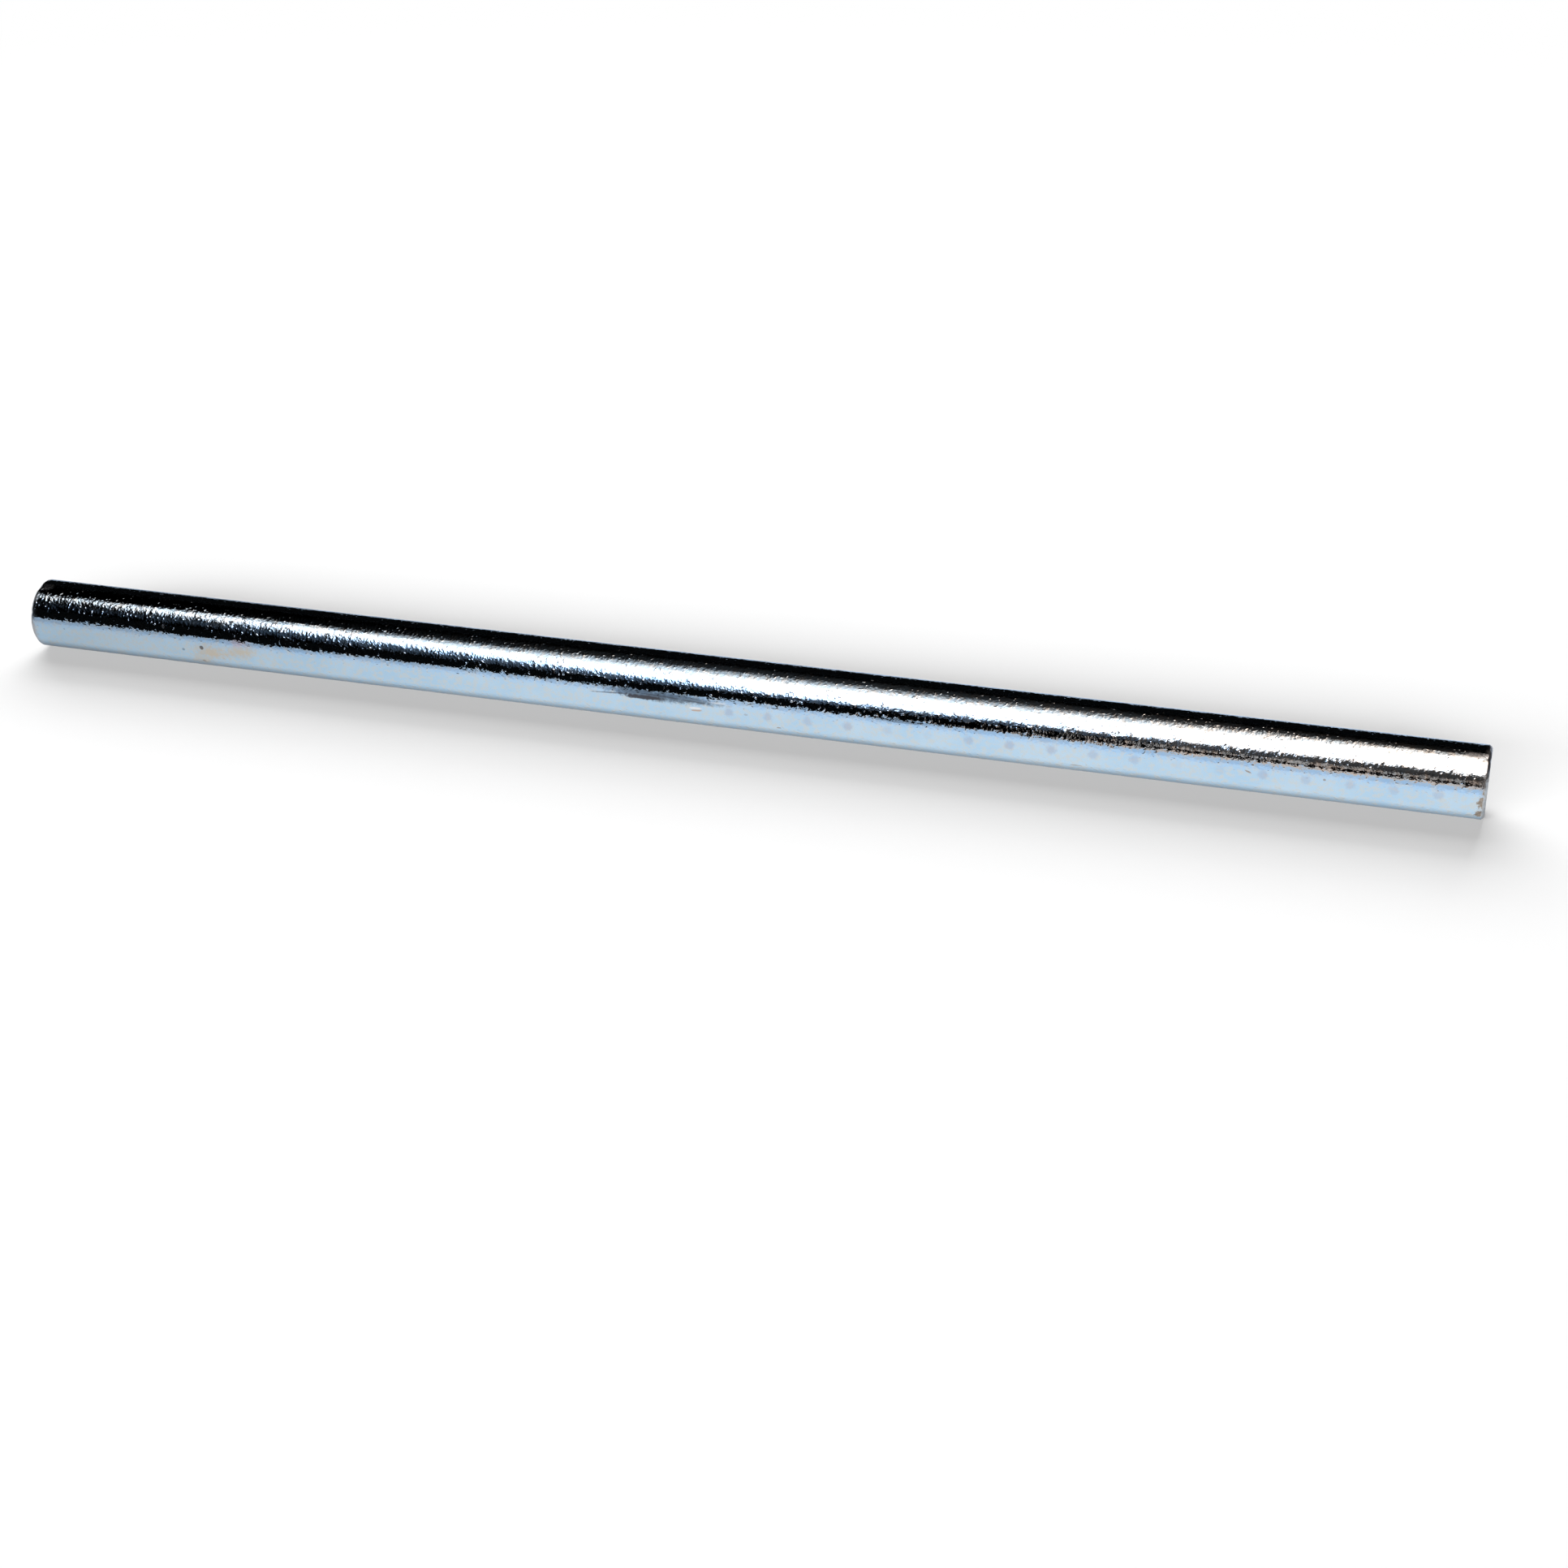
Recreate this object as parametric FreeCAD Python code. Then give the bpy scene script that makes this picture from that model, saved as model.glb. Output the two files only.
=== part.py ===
"""Roller shaft: a plain round steel bar that a trailer's keel roller turns on.

The bar is cold drawn, cropped to length, bevelled at both ends so that it enters its bracket and
roller easily, tumbled so that no edge is sharp, and zinc plated all over. It is one piece.

Frame: the origin is on the bar's axis, halfway along it. +X runs along the bar and +Z is up.
Millimetres.
"""

import FreeCAD
import Part
import math
import os

INCH = 25.4

# Driving dimensions
shaft_diameter = 0.625 * INCH
shaft_length = 13.25 * INCH
bevel_length = 0.6  # of each end's bevel, measured along the axis
bevel_angle = 45.0  # degrees, between the bevel and the axis
tumbled_radius = 0.25  # of the edges on each side of a bevel

NODE = "shaft"


def point(along, radius):
    """A point of the turned outline, in the plane of the axis."""
    return FreeCAD.Vector(along, 0, radius)


def end_outline(end):
    """Half of the outline at one end: from the axis, over the flat end face and the bevel, to the
    straight wall. end is +1 or -1. Both corners of the bevel are rounded by tumbling."""
    half_length = shaft_length / 2
    radius = shaft_diameter / 2
    bevel_depth = bevel_length * math.tan(math.radians(bevel_angle))

    on_axis = point(end * half_length, 0)
    face_corner = point(end * half_length, radius - bevel_depth)
    wall_corner = point(end * (half_length - bevel_length), radius)
    along_bevel = (wall_corner - face_corner).normalize()
    inward = FreeCAD.Vector(-end, 0, 0)
    outward = FreeCAD.Vector(0, 0, 1)

    wall_turn = math.radians(bevel_angle)
    face_turn = math.radians(90.0 - bevel_angle)
    wall_cut = tumbled_radius * math.tan(wall_turn / 2)
    face_cut = tumbled_radius * math.tan(face_turn / 2)

    face_end = face_corner - outward * face_cut
    bevel_start = face_corner + along_bevel * face_cut
    bevel_end = wall_corner - along_bevel * wall_cut
    wall_start = wall_corner + inward * wall_cut

    return [
        Part.LineSegment(on_axis, face_end),
        rounded_corner(face_end, face_corner, bevel_start, face_turn),
        Part.LineSegment(bevel_start, bevel_end),
        rounded_corner(bevel_end, wall_corner, wall_start, wall_turn),
    ], wall_start


def rounded_corner(start, corner, stop, turn):
    """The arc of the tumbled radius from start to stop, which cuts off corner. turn is in radians."""
    to_middle = ((start + stop) * 0.5 - corner).normalize()
    gap = tumbled_radius * (1 / math.cos(turn / 2) - 1)
    return Part.Arc(start, corner + to_middle * gap, stop)


def make_shaft():
    """The bar, turned about its axis from half of its outline."""
    right_end, right_wall = end_outline(+1)
    left_end, left_wall = end_outline(-1)
    wall = Part.LineSegment(right_wall, left_wall)
    axis_line = Part.LineSegment(left_end[0].StartPoint, right_end[0].StartPoint)
    curves = right_end + [wall] + left_end + [axis_line]
    edges = Part.sortEdges([curve.toShape() for curve in curves])[0]
    outline = Part.Face(Part.Wire(edges))
    return outline.revolve(FreeCAD.Vector(0, 0, 0), FreeCAD.Vector(1, 0, 0), 360)


os.makedirs("parts", exist_ok=True)
shaft = make_shaft()
shaft.exportStep(f"parts/{NODE}.step")
print(NODE, shaft.ShapeType, "valid", shaft.isValid(), "volume", round(shaft.Volume, 2), "mm3")
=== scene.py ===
import math

import bmesh
import bpy
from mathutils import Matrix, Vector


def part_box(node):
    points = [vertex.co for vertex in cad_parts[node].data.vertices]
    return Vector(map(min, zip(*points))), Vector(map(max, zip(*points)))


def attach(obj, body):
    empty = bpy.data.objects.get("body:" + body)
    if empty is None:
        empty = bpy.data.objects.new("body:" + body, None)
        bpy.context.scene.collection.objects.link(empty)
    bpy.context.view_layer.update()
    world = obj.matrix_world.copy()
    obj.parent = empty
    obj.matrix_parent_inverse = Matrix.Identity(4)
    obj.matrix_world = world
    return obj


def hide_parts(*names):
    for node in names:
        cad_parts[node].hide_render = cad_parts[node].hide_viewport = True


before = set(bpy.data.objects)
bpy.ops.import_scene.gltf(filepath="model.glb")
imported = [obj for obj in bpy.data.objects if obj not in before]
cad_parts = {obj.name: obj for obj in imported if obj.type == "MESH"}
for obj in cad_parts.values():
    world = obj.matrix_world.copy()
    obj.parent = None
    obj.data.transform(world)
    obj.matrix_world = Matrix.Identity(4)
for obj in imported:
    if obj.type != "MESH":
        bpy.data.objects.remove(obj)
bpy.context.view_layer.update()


# The bar: cold-drawn round steel, cropped to length. Both rims are bevelled and their corners
# rounded as tumbling leaves them. It starts as a cylinder that lies along X, and its wall is cut into
# short rings that carry the drawn skin's faint unevenness.
mm = 0.001
low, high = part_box("shaft")
bar_radius = high.y
half_length = high.x
bevel_length = 0.6 * mm
corner_cut = 0.1 * mm
facets = 120
ring_cuts = (28, 26)
end_face_rings = 8
end_ring_width = 0.85 * mm
# An edge round the bar reaches less than round_reach along it, and an edge of the wall that is still
# to be cut more than wall_reach. An end face lies within face_reach of the bar's end.
round_reach, wall_reach, face_reach = 0.1 * mm, 5 * mm, 0.001 * mm


def choose(piece, kind, wanted):
    """In edit mode, selects only the corners, edges or faces whose points are wanted."""
    bpy.ops.object.mode_set(mode="EDIT")
    bpy.ops.mesh.select_mode(type=kind)
    bpy.ops.mesh.select_all(action="DESELECT")
    shape = bmesh.from_edit_mesh(piece.data)
    for item in {"VERT": shape.verts, "EDGE": shape.edges, "FACE": shape.faces}[kind]:
        points = [item.co] if kind == "VERT" else [corner.co for corner in item.verts]
        if wanted(points):
            item.select_set(True)
    bmesh.update_edit_mesh(piece.data)


def reach_along(points):
    """How far an edge or a face reaches along the bar."""
    return max(p.x for p in points) - min(p.x for p in points)


def around(degrees_up, radius):
    """The y and z of a place round the bar. 0 degrees is its front line, and 90 its top."""
    angle = math.radians(degrees_up)
    return -radius * math.cos(angle), radius * math.sin(angle)


bpy.ops.object.select_all(action="DESELECT")
bpy.ops.mesh.primitive_cylinder_add(
    vertices=facets, radius=bar_radius, depth=2 * half_length, rotation=(0, math.radians(90), 0)
)
bar = bpy.context.object
bar.name = bar.data.name = "shaft_bar"
bpy.ops.object.transform_apply(location=True, rotation=True, scale=True)

for cut, steps in ((bevel_length, 1), (corner_cut, 3)):
    choose(bar, "EDGE", lambda points: reach_along(points) < round_reach)
    bpy.ops.mesh.bevel(offset=cut, offset_type="OFFSET", segments=steps, affect="EDGES")
for cuts in ring_cuts:
    choose(bar, "EDGE", lambda points: reach_along(points) > wall_reach)
    bpy.ops.mesh.subdivide(number_cuts=cuts)
choose(bar, "FACE", lambda points: min(abs(p.x) for p in points) > half_length - face_reach)
for ring in range(end_face_rings):
    bpy.ops.mesh.inset(thickness=end_ring_width, depth=0)

# The dents that handling has left on the rims: the end, degrees up from the front, and the depth and
# the reach in millimetres. Each is pushed in square to the bevel.
rim_dents = (
    (1, -34, 0.22, 1.1),
    (1, -12, 0.12, 0.8),
    (1, 63, 0.16, 0.9),
    (1, 118, 0.14, 1.0),
    (1, 197, 0.20, 1.2),
    (1, 262, 0.10, 0.8),
    (-1, 21, 0.10, 0.8),
    (-1, 74, 0.16, 1.1),
    (-1, 151, 0.18, 1.0),
    (-1, 236, 0.12, 0.9),
)
dent_grip = 0.45 * mm
share_each_way = 0.7
for end, degrees_up, depth, reach in rim_dents:
    rim_y, rim_z = around(degrees_up, bar_radius - bevel_length / 2)
    rim_x = end * (half_length - bevel_length / 2)
    choose(bar, "VERT", lambda points: math.dist(points[0], (rim_x, rim_y, rim_z)) < dent_grip)
    push = share_each_way * depth * mm
    push_y, push_z = around(degrees_up, -push)
    bpy.ops.transform.translate(
        value=(-push * end, push_y, push_z),
        use_proportional_edit=True,
        proportional_edit_falloff="SMOOTH",
        proportional_size=reach * mm,
    )
bpy.ops.object.mode_set(mode="OBJECT")

# The unevenness goes inwards only, so the bar keeps its diameter.
ripple_width, ripple_depth = 2.4 * mm, 0.03 * mm
ripple = bpy.data.textures.new("drawn_ripple", "CLOUDS")
ripple.noise_scale = ripple_width
ripple.noise_depth = 1
unevenness = bar.modifiers.new("unevenness", "DISPLACE")
unevenness.texture = ripple
unevenness.texture_coords = "LOCAL"
unevenness.mid_level = 1.0
unevenness.strength = ripple_depth
bpy.ops.object.modifier_apply(modifier=unevenness.name)
sharp_edge = math.radians(30)
bpy.ops.object.shade_smooth_by_angle(angle=sharp_edge)


# The bar's finish: bright zinc, passivated clear blue. The plating follows the steel's grain, so it
# sparkles along the edges of a highlight. The wall is mirror bright, and the cropped ends are dull.
def add(tree, kind, inputs, **settings):
    """Adds a node. An input is a number, a tuple, or another node's output, which is linked."""
    node = tree.nodes.new("ShaderNode" + kind)
    for name, value in settings.items():
        setattr(node, name, value)
    for name, value in inputs.items():
        if isinstance(value, bpy.types.NodeSocket):
            tree.links.new(value, node.inputs[name])
        else:
            node.inputs[name].default_value = value
    return node


def noise(tree, where, scale, detail=2.0, roughness=0.5):
    """A cloudy pattern between 0 and 1, about scale clouds to the metre."""
    inputs = {"Vector": where, "Scale": scale, "Detail": detail, "Roughness": roughness}
    return add(tree, "TexNoise", inputs).outputs["Fac"]


def remap(tree, value, start, stop, first=0.0, last=1.0):
    """The value between start and stop, eased, as a number between first and last."""
    inputs = {"Value": value, "From Min": start, "From Max": stop, "To Min": first, "To Max": last}
    return add(tree, "MapRange", inputs, interpolation_type="SMOOTHSTEP").outputs["Result"]


def calculate(tree, operation, *values):
    """One step of arithmetic, done at every point of the surface."""
    return add(tree, "Math", dict(enumerate(values)), operation=operation).outputs["Value"]


def length_of(tree, vector):
    return add(tree, "VectorMath", {"Vector": vector}, operation="LENGTH").outputs["Value"]


def overlay(tree, share, under, over):
    """The colour over, laid on the colour under."""
    node = add(tree, "Mix", {}, data_type="RGBA")
    for socket, value in zip((s for s in node.inputs if s.enabled), (share, under, over)):
        if isinstance(value, bpy.types.NodeSocket):
            tree.links.new(value, socket)
        else:
            socket.default_value = (*value, 1) if isinstance(value, tuple) else value
    return next(s for s in node.outputs if s.enabled)


def start_group(name, inputs, outputs):
    """A node group with its inputs and outputs, each named with its kind."""
    group = bpy.data.node_groups.new(name, "ShaderNodeTree")
    for direction, sockets in (("INPUT", inputs), ("OUTPUT", outputs)):
        for socket, kind in sockets.items():
            group.interface.new_socket(socket, in_out=direction, socket_type="NodeSocket" + kind)
    return group, group.nodes.new("NodeGroupInput").outputs, group.nodes.new("NodeGroupOutput").inputs


def start_material(name):
    """A new material and its node tree."""
    material = bpy.data.materials.new(name)
    material.use_nodes = True
    return material, material.node_tree


# The plated skin: a fine grain with a few steeper nodules, small dull crystals, cloudy tones of the
# blue passivation, and flecks in it. Its height is in metres.
grain_scale, swell_scale, tone_scale, fleck_scale = 1500, 240, 80, 750
plated_skin, given, result = start_group(
    "plated_skin",
    {"Position": "Vector", "Grain": "Float", "Nodules": "Float", "Clear": "Float", "Dull": "Float"},
    {"Height": "Float", "Roughness": "Float", "Tone": "Float", "Fleck": "Float"},
)
where = given["Position"]
swell = noise(plated_skin, where, swell_scale)
swell = remap(plated_skin, swell, start=0.35, stop=0.65, first=0.7, last=1.3)
grain = noise(plated_skin, where, grain_scale, detail=1.5)
grain = calculate(plated_skin, "MULTIPLY", grain, given["Grain"])
nodules = noise(plated_skin, where, grain_scale, detail=0.0)
nodules = remap(plated_skin, nodules, start=0.66, stop=0.84)
nodules = calculate(plated_skin, "MULTIPLY", nodules, given["Nodules"])
height = calculate(plated_skin, "ADD", grain, nodules)
height = calculate(plated_skin, "MULTIPLY", height, swell)
crystals = noise(plated_skin, where, grain_scale, detail=2.0)
crystals = remap(plated_skin, crystals, start=0.60, stop=0.78)
dulling = calculate(plated_skin, "SUBTRACT", given["Dull"], given["Clear"])
roughness = calculate(plated_skin, "MULTIPLY_ADD", crystals, dulling, given["Clear"])
tone = noise(plated_skin, where, tone_scale, detail=4.0, roughness=0.6)
tone = remap(plated_skin, tone, start=0.3, stop=0.7)
fleck = noise(plated_skin, where, fleck_scale, detail=3.0, roughness=0.65)
fleck = remap(plated_skin, fleck, start=0.42, stop=0.66)
for name, value in (("Height", height), ("Roughness", roughness), ("Tone", tone), ("Fleck", fleck)):
    plated_skin.links.new(value, result[name])

# The rust bloom: brown patches with broken edges, thicker where Amount is higher.
patch_scale, shade_scale = 650, 1400
dark_rust, light_rust = (0.08, 0.06, 0.045), (0.30, 0.25, 0.20)
rust_bloom, given, result = start_group(
    "rust_bloom",
    {"Position": "Vector", "Amount": "Float"},
    {"Mask": "Float", "Shade": "Color"},
)
where = given["Position"]
patches = noise(rust_bloom, where, patch_scale, detail=4.0, roughness=0.7)
patches = calculate(rust_bloom, "ADD", patches, given["Amount"])
shade = overlay(rust_bloom, noise(rust_bloom, where, shade_scale), dark_rust, light_rust)
rust_bloom.links.new(remap(rust_bloom, patches, start=0.95, stop=1.15), result["Mask"])
rust_bloom.links.new(shade, result["Shade"])


def lay_skin(tree, where, grain, nodules, clear, dull):
    """The plated skin on a material. Clear and dull are its roughness between and on its crystals."""
    inputs = {"Position": where, "Grain": grain, "Nodules": nodules, "Clear": clear, "Dull": dull}
    return add(tree, "Group", inputs, node_tree=plated_skin).outputs


def raise_surface(tree, height):
    """Gives a material's shader a height, in metres, as bump."""
    bump = add(tree, "Bump", {"Height": height, "Strength": 1.0, "Distance": 1.0})
    tree.links.new(bump.outputs["Normal"], tree.nodes["Principled BSDF"].inputs["Normal"])


def finish_with_rust(tree, where, amount, colour, roughness, rust_roughness):
    """Lays the rust bloom over a zinc finish, and feeds both to the material's shader."""
    rust_metallic = 0.2
    shader = tree.nodes["Principled BSDF"].inputs
    rust = add(tree, "Group", {"Position": where, "Amount": amount}, node_tree=rust_bloom).outputs
    mask = rust["Mask"]
    tree.links.new(overlay(tree, mask, colour, rust["Shade"]), shader["Base Color"])
    rougher = calculate(tree, "MULTIPLY_ADD", mask, rust_roughness, roughness)
    tree.links.new(rougher, shader["Roughness"])
    metallic = calculate(tree, "MULTIPLY_ADD", mask, rust_metallic - 1.0, 1.0)
    tree.links.new(metallic, shader["Metallic"])


# The wall's plating, clear blue with warm grey flecks.
deep_blue, pale_blue = (0.48, 0.69, 0.89), (0.56, 0.735, 0.89)
fleck_grey, fleck_strength = (0.66, 0.69, 0.68), 0.7
bright_zinc, tree = start_material("bright_zinc")
shader = tree.nodes["Principled BSDF"].inputs
shader["Specular Tint"].default_value = (0.8, 0.86, 0.92, 1)
where = add(tree, "TexCoord", {}).outputs["Object"]
skin = lay_skin(tree, where, grain=0.048 * mm, nodules=0.028 * mm, clear=0.045, dull=0.12)
raise_surface(tree, skin["Height"])
colour = overlay(tree, skin["Tone"], deep_blue, pale_blue)
flecks = calculate(tree, "MULTIPLY", skin["Fleck"], fleck_strength)
colour = overlay(tree, flecks, colour, fleck_grey)

# The wall unrolled: metres along the bar and metres up round it from the front line.
across = add(tree, "SeparateXYZ", {"Vector": where}).outputs
forwards = calculate(tree, "MULTIPLY", across["Y"], -1.0)
turned = calculate(tree, "ARCTAN2", across["Z"], forwards)
girth = calculate(tree, "MULTIPLY", turned, bar_radius)
unrolled = add(tree, "CombineXYZ", {"X": across["X"], "Y": girth}).outputs["Vector"]
# The unevenness of every mark's edge.
wobble = noise(tree, where, scale=900, detail=3.0, roughness=0.7)
wobble = calculate(tree, "SUBTRACT", wobble, 0.5)


def stain(tree, along, degrees_up, length, width, turn=0, ragged=1.2, soft=0.6):
    """The mask of an oval mark on the unrolled wall. Its sizes are in millimetres."""
    inputs = {
        "Vector": unrolled,
        "Location": (along * mm, math.radians(degrees_up) * bar_radius, 0),
        "Rotation": (0, 0, math.radians(turn)),
        "Scale": (length * mm / 2, width * mm / 2, 1),
    }
    centred = add(tree, "Mapping", inputs, vector_type="TEXTURE").outputs["Vector"]
    off = calculate(tree, "MULTIPLY_ADD", wobble, ragged, length_of(tree, centred))
    return remap(tree, off, start=1 + soft / 2, stop=1 - soft / 2)


tan, dark, brown = (0.67, 0.59, 0.48), (0.07, 0.07, 0.08), (0.33, 0.24, 0.17)
smear_blue, pale, pink = (0.14, 0.185, 0.23), (0.86, 0.88, 0.90), (0.68, 0.58, 0.62)
rim_brown, red_brown = (0.56, 0.50, 0.48), (0.55, 0.38, 0.28)
# Each mark on the wall: its colour and strength, how far along and how many degrees up from the
# front line it lies, its length and width, its turn, and for some how ragged and how soft it is.
marks = (
    (tan, 0.85, -121.2, -13, 6.6, 3.2, -8, 2.8, 1.7),
    (tan, 0.80, -114.0, -6, 6.4, 2.6, 8, 2.8, 1.7),
    (tan, 0.65, -124.2, -33, 4.4, 3.6, 0, 2.8, 1.7),
    (pink, 0.80, -114.0, 12, 4.6, 2.2, 0, 2.4, 1.5),
    (rim_brown, 0.90, -168.4, -16, 2.2, 9.0, 0, 1.6, 1.2),
    (dark, 0.80, -123.7, -5.5, 0.95, 1.05, 20),
    (dark, 0.45, -128.5, -13.2, 0.7, 0.7, 0),
    (brown, 0.60, -124.1, -36.6, 1.0, 0.6, 0),
    (smear_blue, 0.95, -14.0, 6.0, 18.0, 2.2, -3, 1.6, 1.0),
    (smear_blue, 0.85, -5.0, 6.5, 14.0, 1.5, -4, 1.6, 1.0),
    (dark, 0.95, -15.0, 0.8, 9.0, 1.0, 1),
    (dark, 0.60, -11.0, 6.0, 9.0, 0.35, -2),
    (dark, 0.60, -22.5, 2.3, 9.0, 0.35, 3),
    (dark, 0.50, -3.0, 3.0, 6.5, 0.30, -3),
    (pale, 0.55, 2.4, 5.3, 4.0, 0.35, 0),
    (pale, 0.95, -3.0, -8.0, 2.6, 0.55, 4),
    (red_brown, 0.80, -2.8, -12.3, 2.4, 0.5, 4),
    (brown, 0.35, 8.8, -9.2, 0.9, 0.5, 0),
    (smear_blue, 0.60, 44.5, 12.0, 12.0, 0.9, 0),
    (brown, 0.70, 16.2, -29.4, 1.1, 0.5, 0),
    (brown, 0.60, 82.4, -33.5, 2.4, 0.4, 0),
    (brown, 0.75, 119.3, -2.8, 1.5, 0.42, -22),
    (brown, 0.70, 135.2, -1.1, 0.6, 0.5, 0),
    (dark, 0.60, -140.2, 54.6, 1.4, 1.4, 0),
)
for shade, strength, *place in marks:
    share = calculate(tree, "MULTIPLY", stain(tree, *place), strength)
    colour = overlay(tree, share, colour, shade)

# The row of faint round spots along the right half, evenly spaced and climbing slowly round the
# front. Some have almost gone.
spot_start, spot_step, spot_count, spot_width = 4.79 * mm, 9.045 * mm, 18, 2.5 * mm
spot_rise_start, spot_rise = math.radians(-8.5) * bar_radius, math.radians(26.6) * bar_radius
spot_ragged, spot_blue = 1.6 * mm, (0.42, 0.48, 0.62)
steps = calculate(tree, "SUBTRACT", across["X"], spot_start)
steps = calculate(tree, "DIVIDE", steps, spot_step)
nearest = calculate(tree, "MAXIMUM", calculate(tree, "ROUND", steps), 0.0)
nearest = calculate(tree, "MINIMUM", nearest, spot_count - 1.0)
beside = calculate(tree, "SUBTRACT", steps, nearest)
beside = calculate(tree, "MULTIPLY", beside, spot_step)
row = calculate(tree, "MULTIPLY_ADD", across["X"], spot_rise, spot_rise_start)
above = calculate(tree, "SUBTRACT", girth, row)
off = length_of(tree, add(tree, "CombineXYZ", {"X": beside, "Y": above}).outputs["Vector"])
off = calculate(tree, "MULTIPLY_ADD", wobble, spot_ragged, off)
kept = noise(tree, where, scale=45, detail=1.0)
kept = remap(tree, kept, start=0.36, stop=0.64, first=0.12, last=0.55)
spots = remap(tree, off, start=spot_width * 0.62, stop=spot_width * 0.2)
spots = calculate(tree, "MULTIPLY", spots, kept)
colour = overlay(tree, spots, colour, spot_blue)

# Worn dull towards both rims, and at a few places on the wall.
worn_places = ((-166.2, 74, 4.0, 2.6), (-133.5, 23.6, 0.9, 1.1), (165.5, 68, 5.0, 1.6))
worn_grey, worn_strength, worn_roughness = (0.52, 0.56, 0.60), 0.5, 0.22
rim_ragged = 3.0 * mm
from_end = calculate(tree, "SUBTRACT", half_length, calculate(tree, "ABSOLUTE", across["X"]))
from_end = calculate(tree, "MULTIPLY_ADD", wobble, rim_ragged, from_end)
worn = remap(tree, from_end, start=2.0 * mm, stop=0.4 * mm)
for place in worn_places:
    worn = calculate(tree, "MAXIMUM", worn, stain(tree, *place))
share = calculate(tree, "MULTIPLY", worn, worn_strength)
colour = overlay(tree, share, colour, worn_grey)
roughness = calculate(tree, "MULTIPLY_ADD", worn, worn_roughness, skin["Roughness"])

# Rust on the right rim, at its front and below.
rust_places = ((167.4, -8, 2.6, 3.8), (167.2, -34, 3.2, 3.0), (167.9, 9, 1.6, 2.4))
rim_rust = 0.7
amount = 0.0
for place in rust_places:
    amount = calculate(tree, "MAXIMUM", amount, stain(tree, *place, soft=1.4))
amount = calculate(tree, "MULTIPLY", amount, rim_rust)
finish_with_rust(tree, where, amount, colour, roughness, rust_roughness=0.35)

# The cropped ends and their bevels, plated over the shear's drag lines.
dull_blue, dull_grey = (0.44, 0.50, 0.57), (0.60, 0.65, 0.70)
dirt_grey, dirt_strength = (0.42, 0.40, 0.38), 0.5
drag_stretch, drag_depth, end_rust = 0.06, 0.03 * mm, 0.36
cropped_zinc, tree = start_material("cropped_zinc")
where = add(tree, "TexCoord", {}).outputs["Object"]
skin = lay_skin(tree, where, grain=0.10 * mm, nodules=0.06 * mm, clear=0.34, dull=0.55)
stretched = add(tree, "Mapping", {"Vector": where, "Scale": (1, drag_stretch, 1)}).outputs["Vector"]
drag_lines = noise(tree, stretched, scale=2600, detail=3.0, roughness=0.6)
drag_lines = calculate(tree, "MULTIPLY", drag_lines, drag_depth)
raise_surface(tree, calculate(tree, "ADD", skin["Height"], drag_lines))
colour = overlay(tree, skin["Tone"], dull_blue, dull_grey)
dirt = calculate(tree, "MULTIPLY", skin["Fleck"], dirt_strength)
colour = overlay(tree, dirt, colour, dirt_grey)
finish_with_rust(tree, where, end_rust, colour, skin["Roughness"], rust_roughness=0.3)

# Faces that slant towards an end are the cropped ends and their bevels.
bar.data.materials.append(bright_zinc)
bar.data.materials.append(cropped_zinc)
cropped_slant = 0.3
for face in bar.data.polygons:
    if abs(face.normal.x) > cropped_slant:
        face.material_index = 1

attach(bar, "root")
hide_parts("shaft")
bpy.ops.object.select_all(action="DESELECT")


# The table: a wide white sheet that the bar lies on. Its glow in the metal carries painted shade: a
# little darker far away and towards the left, a little brighter towards the right, a painted shadow
# right under the bar, and painted bluish light farther from the bar's side.
table_size = 40
matt_white = (0.9, 0.9, 0.9, 1)
# Painted light: the colours of the sheet's glow in the metal, plain near the bar and bluish farther
# off.
plain_light, blue_light = (1.0, 1.0, 1.0), (1.02, 1.14, 1.34)
mirrored_share = 0.9


def unscattered(tree, path):
    """1 for a ray that no matt surface has scattered yet, and otherwise 0."""
    return calculate(tree, "LESS_THAN", path["Diffuse Depth"], 0.5)


def in_gloss(tree, path):
    """1 for a ray that metal or glass has turned, and otherwise 0."""
    return calculate(tree, "MAXIMUM", path["Is Glossy Ray"], path["Is Transmission Ray"])


bpy.ops.mesh.primitive_plane_add(size=table_size, location=(0, 0, low.z))
table = bpy.context.object
table.name = "white_table"
bpy.ops.object.transform_apply(location=True, rotation=True, scale=True)
white_sheet, tree = start_material("white_sheet")
tree.nodes.clear()
where = add(tree, "TexCoord", {}).outputs["Object"]
across = add(tree, "SeparateXYZ", {"Vector": where}).outputs
path = add(tree, "LightPath", {}).outputs
matt = add(tree, "BsdfDiffuse", {"Color": matt_white}).outputs["BSDF"]

# The camera sees the bar's shadow on it, and plain white farther off.
share = remap(tree, length_of(tree, where), start=0.3, stop=0.9, first=0.15, last=1.0)
plain_white = add(tree, "Emission", {"Strength": 1.0}).outputs["Emission"]
seen = add(tree, "MixShader", {"Fac": share, 1: matt, 2: plain_white}).outputs["Shader"]

# What the metal mirrors of it: a glow with painted shade and painted light, by the distance to the
# bar's side and the place along it.
aside = calculate(tree, "ABSOLUTE", across["Y"])
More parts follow.
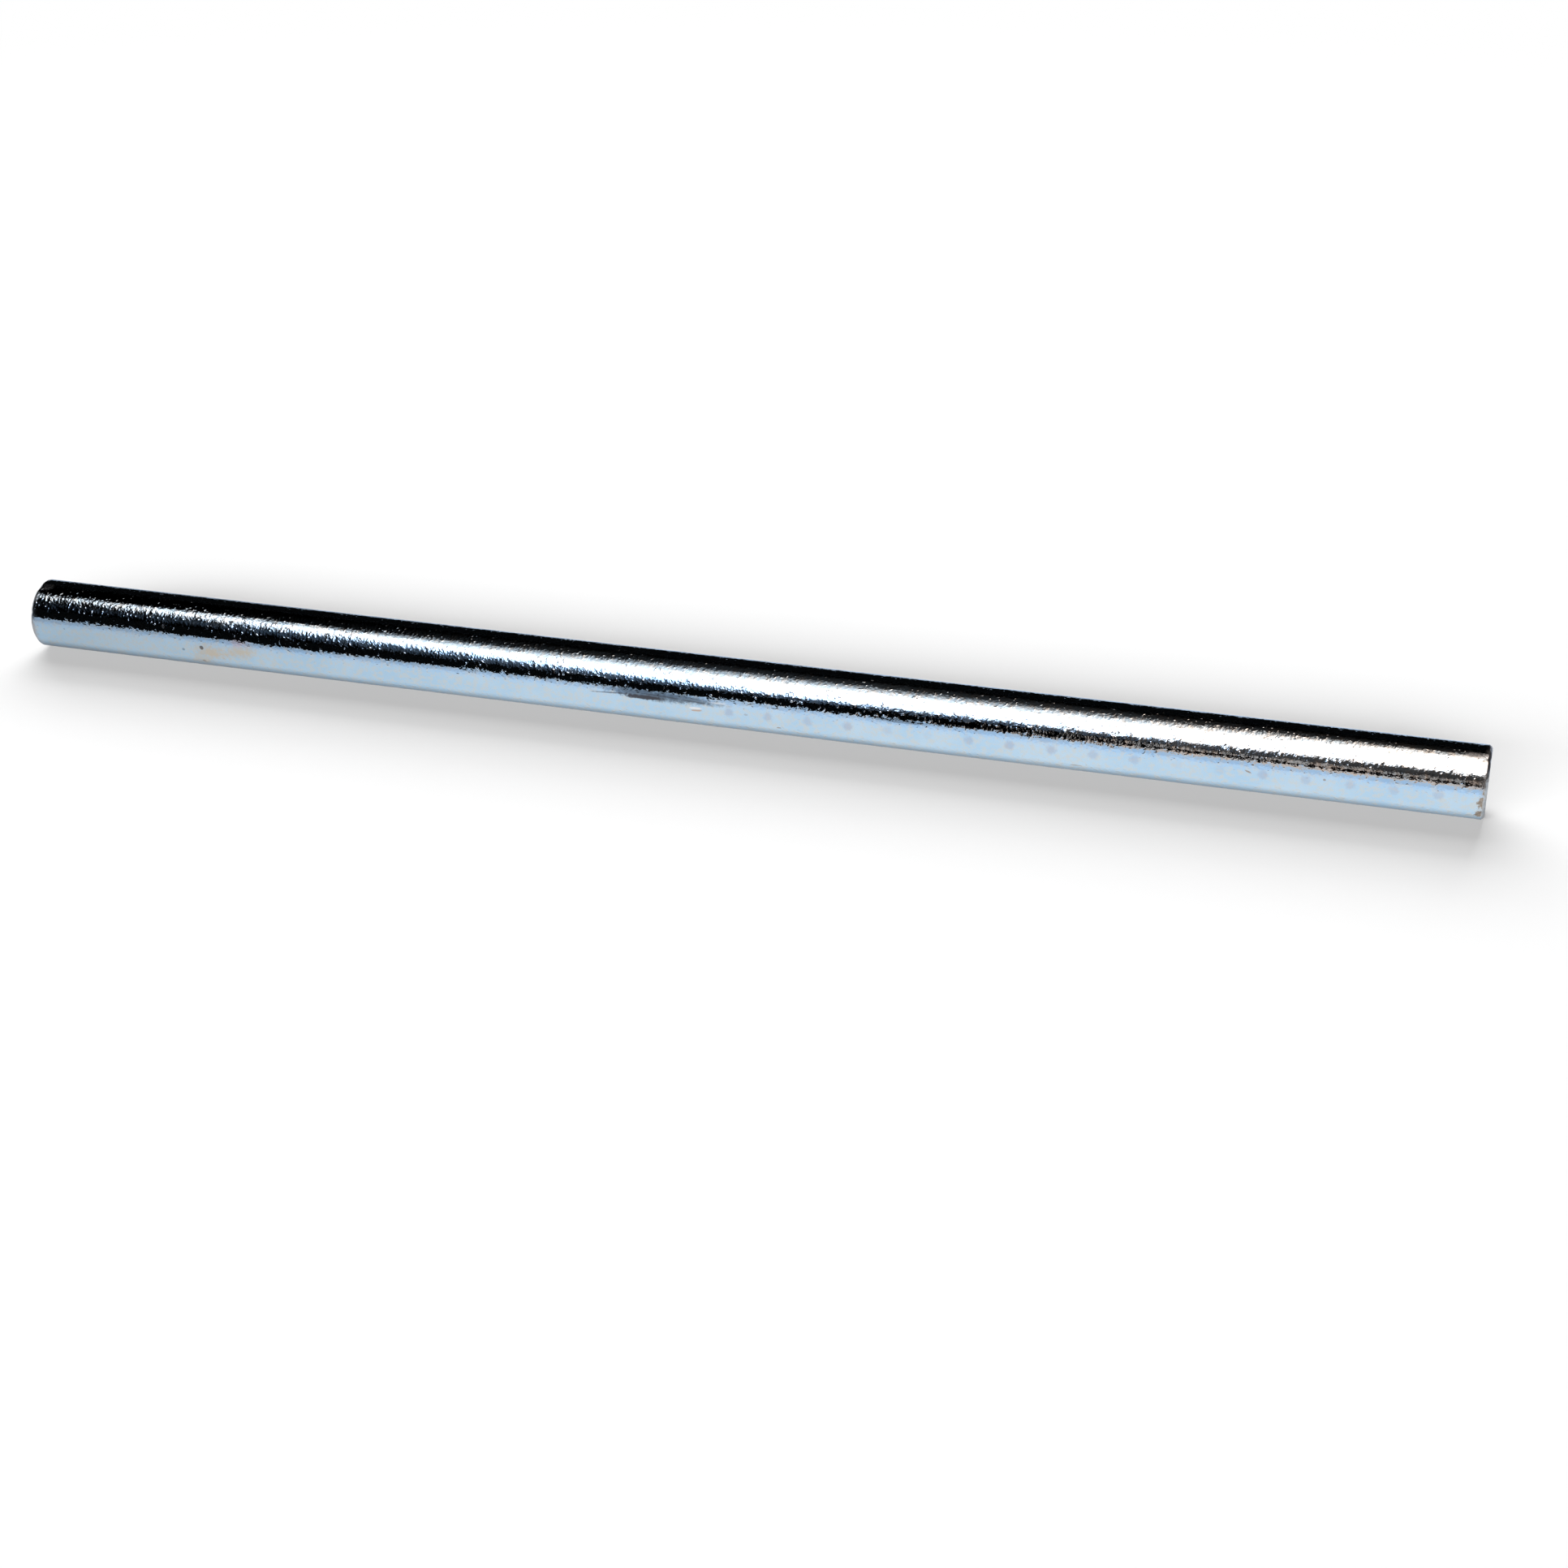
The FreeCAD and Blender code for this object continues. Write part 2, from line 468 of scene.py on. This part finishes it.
# Painted shadow: the glow is darkened right under the bar. Painted shade also darkens it far off and
# towards the left, and painted light brightens it a little towards the right.
painted_shadow_under_bar = remap(tree, aside, start=2.8 * mm, stop=7.5 * mm, first=0.41, last=0.93)
painted_shade_far_off = remap(tree, aside, start=9 * mm, stop=75 * mm, first=1.0, last=0.60)
painted_shade_leftwards = remap(tree, across["X"], start=-0.215, stop=-0.03, first=0.60, last=1.0)
rightwards = remap(tree, across["X"], start=-0.03, stop=0.08, first=1.0, last=1.06)
glow = calculate(tree, "MULTIPLY", painted_shadow_under_bar, painted_shade_far_off)
glow = calculate(tree, "MULTIPLY", glow, calculate(tree, "MULTIPLY", painted_shade_leftwards, rightwards))
glow = calculate(tree, "MULTIPLY", glow, unscattered(tree, path))
# Painted bluish light on the glow, farther from the bar's side.
painted_bluish_light = remap(tree, aside, start=12 * mm, stop=60 * mm)
painted_bluish_light = overlay(tree, painted_bluish_light, plain_light, blue_light)
glow = add(tree, "Emission", {"Color": painted_bluish_light, "Strength": glow}).outputs["Emission"]
mirrored = add(tree, "MixShader", {"Fac": mirrored_share, 1: matt, 2: glow}).outputs["Shader"]

by_camera = add(tree, "MixShader", {"Fac": path["Is Camera Ray"], 1: matt, 2: seen}).outputs["Shader"]
turned = in_gloss(tree, path)
sheet = add(tree, "MixShader", {"Fac": turned, 1: by_camera, 2: mirrored}).outputs["Shader"]
add(tree, "OutputMaterial", {"Surface": sheet})
table.data.materials.append(white_sheet)
bpy.ops.object.select_all(action="DESELECT")


# The softbox: a large panel of cloth with lamps behind it, over the bar and in front of it. Its
# light has soft, slanted edges, and is warmer to the right and bluer at the front left. Only the
# metal mirrors it.
cloth_height = 1.2
cloth_left, cloth_right, cloth_front, cloth_back = -1.4, 1.0, -2.55, 1.0
# The edges of the light on the left and in front, each as a line through two points of the cloth.
lit_left = ((-0.95, -0.2), (-0.68, -1.5))
lit_front = ((-0.5, -1.95), (0.2, -1.42))
lit_strength = 2.6
back_left_light, back_right_light = (1.12, 1.0, 0.94), (1.35, 1.0, 0.80)
front_left_light, front_right_light = (0.85, 1.0, 1.25), (1.30, 1.0, 0.85)


def show_in_metal_only(panel):
    """Keeps a panel out of the picture and the shadows, and its light off the table."""
    panel.visible_camera = False
    panel.visible_diffuse = False
    panel.visible_shadow = False


bpy.ops.mesh.primitive_plane_add(
    size=1,
    location=((cloth_left + cloth_right) / 2, (cloth_front + cloth_back) / 2, cloth_height),
    rotation=(math.radians(180), 0, 0),
)
softbox = bpy.context.object
softbox.name = "softbox"
softbox.scale = (cloth_right - cloth_left, cloth_back - cloth_front, 1)
bpy.ops.object.transform_apply(location=True, rotation=True, scale=True)
lit_cloth, tree = start_material("lit_cloth")
tree.nodes.clear()
where = add(tree, "TexCoord", {}).outputs["Object"]
across = add(tree, "SeparateXYZ", {"Vector": where}).outputs


def depth_inside(line):
    """How far a point of the cloth lies inside the line between two points."""
    (first_x, first_y), (second_x, second_y) = line
    length = math.dist(*line)
    inward = (-(second_y - first_y) / length, (second_x - first_x) / length, 0)
    start = first_x * inward[0] + first_y * inward[1]
    dot = add(tree, "VectorMath", {0: where, 1: inward}, operation="DOT_PRODUCT").outputs["Value"]
    return calculate(tree, "SUBTRACT", dot, start)


# The light's back edge lies farther back towards the right. It is crisp at the left and softest in
# the middle.
lit_back = calculate(
    tree,
    "ADD",
    remap(tree, across["X"], start=-0.9, stop=-0.22, first=-0.075, last=0.33),
    remap(tree, across["X"], start=-0.10, stop=0.16, first=0, last=0.17),
)
back_fade = calculate(
    tree,
    "ADD",
    remap(tree, across["X"], start=-0.85, stop=-0.45, first=0.16, last=1.0),
    remap(tree, across["X"], start=-0.10, stop=0.16, first=0, last=-0.35),
)
from_back = calculate(tree, "SUBTRACT", lit_back, across["Y"])
from_back = calculate(tree, "DIVIDE", from_back, back_fade)
bright = calculate(tree, "MULTIPLY", remap(tree, from_back, start=0, stop=1), lit_strength)
from_left = depth_inside(lit_left)
bright = calculate(tree, "MULTIPLY", remap(tree, from_left, start=0, stop=0.24), bright)
from_front = depth_inside(lit_front)
bright = calculate(tree, "MULTIPLY", remap(tree, from_front, start=-0.05, stop=0.4), bright)

# A little light spills over the cloth in front and behind.
spill = calculate(
    tree,
    "MULTIPLY",
    remap(tree, across["Y"], start=-0.6, stop=-1.2),
    remap(tree, across["X"], start=-1.16, stop=-0.68),
)
rightwards = remap(tree, across["X"], start=-0.3, stop=0.0, first=0.10, last=0.035)
spill = calculate(tree, "MULTIPLY", rightwards, spill)
spill = calculate(tree, "MULTIPLY", remap(tree, from_front, start=-1.0, stop=0.1), spill)
behind = calculate(
    tree,
    "MULTIPLY",
    remap(tree, across["Y"], start=1.0, stop=0.2),
    remap(tree, across["X"], start=-0.75, stop=-0.15, first=0.0, last=0.03),
)
spill = calculate(tree, "ADD", spill, behind)

rightwards = remap(tree, across["X"], start=-0.35, stop=0.15)
at_back = overlay(tree, rightwards, back_left_light, back_right_light)
rightwards = remap(tree, across["X"], start=-0.60, stop=0.10)
at_front = overlay(tree, rightwards, front_left_light, front_right_light)
colour = overlay(tree, remap(tree, across["Y"], start=-0.4, stop=-1.2), at_back, at_front)

# Light that the metal would throw on to the table is left out, so its shadow stays plain.
path = add(tree, "LightPath", {}).outputs
direct = unscattered(tree, path)
strength = calculate(tree, "MULTIPLY", calculate(tree, "ADD", bright, spill), direct)
cloth = add(tree, "Emission", {"Color": colour, "Strength": strength}).outputs["Emission"]
add(tree, "OutputMaterial", {"Surface": cloth})
softbox.data.materials.append(lit_cloth)
show_in_metal_only(softbox)
bpy.ops.object.select_all(action="DESELECT")


# The silver card: a strip that stands low in front, to the right. Its upper and lower parts glow dim
# and warm, with a dark gap between, and draw thin lines along the bar's right half, under the
# highlight.
card_place = (0.3, -1.0, 0.23)
card_length, card_width = 0.96, 0.44
warm_light = (1.4, 1.0, 0.8, 1)
bpy.ops.mesh.primitive_plane_add(size=1, location=card_place, rotation=(math.radians(90), 0, 0))
silver = bpy.context.object
silver.name = "silver_card"
silver.scale = (card_length, card_width, 1)
bpy.ops.object.transform_apply(location=True, rotation=True, scale=True)
dim_silver, tree = start_material("dim_silver")
tree.nodes.clear()
across = add(tree, "SeparateXYZ", {"Vector": add(tree, "TexCoord", {}).outputs["Object"]}).outputs
upper = calculate(
    tree,
    "MULTIPLY",
    remap(tree, across["X"], start=-0.09, stop=0.05),
    remap(tree, across["X"], start=0.08, stop=0.13, first=0.5, last=0.28),
)
upwards = remap(tree, across["Z"], start=0.24, stop=0.29)
upper = calculate(tree, "MULTIPLY", upwards, upper)
upwards = remap(tree, across["Z"], start=0.31, stop=0.42, first=1.0, last=0.3)
upper = calculate(tree, "MULTIPLY", upwards, upper)
lower = calculate(
    tree,
    "MULTIPLY",
    remap(tree, across["X"], start=-0.12, stop=0.0),
    remap(tree, across["Z"], start=0.15, stop=0.10, first=0.0, last=0.62),
)
strength = calculate(tree, "ADD", upper, lower)
glow = add(tree, "Emission", {"Color": warm_light, "Strength": strength}).outputs["Emission"]
add(tree, "OutputMaterial", {"Surface": glow})
silver.data.materials.append(dim_silver)
show_in_metal_only(silver)
bpy.ops.object.select_all(action="DESELECT")


# The black cards: they stand round the table and over it, outside the picture, and give the metal
# its dark lines. They are a box with no bottom.
cards_out = 2.6
cards_low, cards_high = 0.02, 2.4
cards_middle = (cards_low + cards_high) / 2
black = (0.002, 0.002, 0.002, 1)
bpy.ops.mesh.primitive_cube_add(size=1, location=(0, 0, cards_middle))
cards = bpy.context.object
cards.name = "black_cards"
cards.scale = (2 * cards_out, 2 * cards_out, cards_high - cards_low)
bpy.ops.object.transform_apply(location=True, rotation=True, scale=True)
choose(cards, "FACE", lambda points: all(p.z < cards_middle for p in points))
bpy.ops.mesh.delete(type="FACE")
bpy.ops.object.mode_set(mode="OBJECT")
black_paper, tree = start_material("black_paper")
paper = tree.nodes["Principled BSDF"].inputs
paper["Base Color"].default_value = black
paper["Roughness"].default_value = 1
paper["Specular IOR Level"].default_value = 0
cards.data.materials.append(black_paper)
show_in_metal_only(cards)
bpy.ops.object.select_all(action="DESELECT")


# The lamps: long soft strips, low over the table and parallel to the bar, the three behind it well to
# the left, so that its shadow is longer at the right end. The metal doesn't mirror them.
lamp_distance, lamp_length = 6.0, 7.4
# Each lamp: its side, the place of its middle along the bar, the lowest and highest angle that it
# fills over the table, and its brightness.
strips = (
    ("back", -2.6, 15, 27, 10.0),
    ("back", -2.6, 27, 45, 5.8),
    ("back", -2.6, 45, 75, 1.7),
    ("front", -0.4, 12.5, 23.5, 24.4),
)
for number, (side, middle, lowest, highest, brightness) in enumerate(strips):
    rise = math.radians((lowest + highest) / 2)
    width = 2 * lamp_distance * math.tan(math.radians((highest - lowest) / 2))
    towards = 1 if side == "back" else -1
    out, height = lamp_distance * math.cos(rise), lamp_distance * math.sin(rise)
    bpy.ops.object.light_add(
        type="AREA",
        location=(middle, towards * out, height),
        rotation=(towards * (rise - math.radians(90)), 0, 0),
    )
    lamp = bpy.context.object
    lamp.name = f"{side}_lamp_{number}"
    lamp.data.shape = "RECTANGLE"
    lamp.data.size, lamp.data.size_y = lamp_length, width
    lamp.data.energy = brightness * math.pi * lamp_length * width
    lamp.visible_camera = False
    lamp.visible_glossy = False


# The room: white to the camera and in the metal. Light that the metal would throw on to the table
# from it is left out.
scene = bpy.context.scene
room = bpy.data.worlds.new("white_room")
scene.world = room
room.use_nodes = True
tree = room.node_tree
background = tree.nodes["Background"].inputs
background["Color"].default_value = (1, 1, 1, 1)
path = add(tree, "LightPath", {}).outputs
seen = calculate(tree, "MAXIMUM", path["Is Camera Ray"], in_gloss(tree, path))
strength = calculate(tree, "MULTIPLY", seen, unscattered(tree, path))
tree.links.new(strength, background["Strength"])


# The camera: in front of the bar's right end, where the photograph was taken from. It looks 26
# degrees down and is turned 16 degrees to the left.
camera_place = (0.16816, -0.53012, 0.24807)
camera_tilt, camera_turn = math.radians(64.0), math.radians(16.086)
bpy.ops.object.camera_add(location=camera_place, rotation=(camera_tilt, 0, camera_turn))
camera = bpy.context.object
camera.data.sensor_width = 36
camera.data.lens = 62.36
camera.data.clip_start = 0.01
camera.data.clip_end = 100
scene.camera = camera
scene.view_settings.view_transform = "Standard"
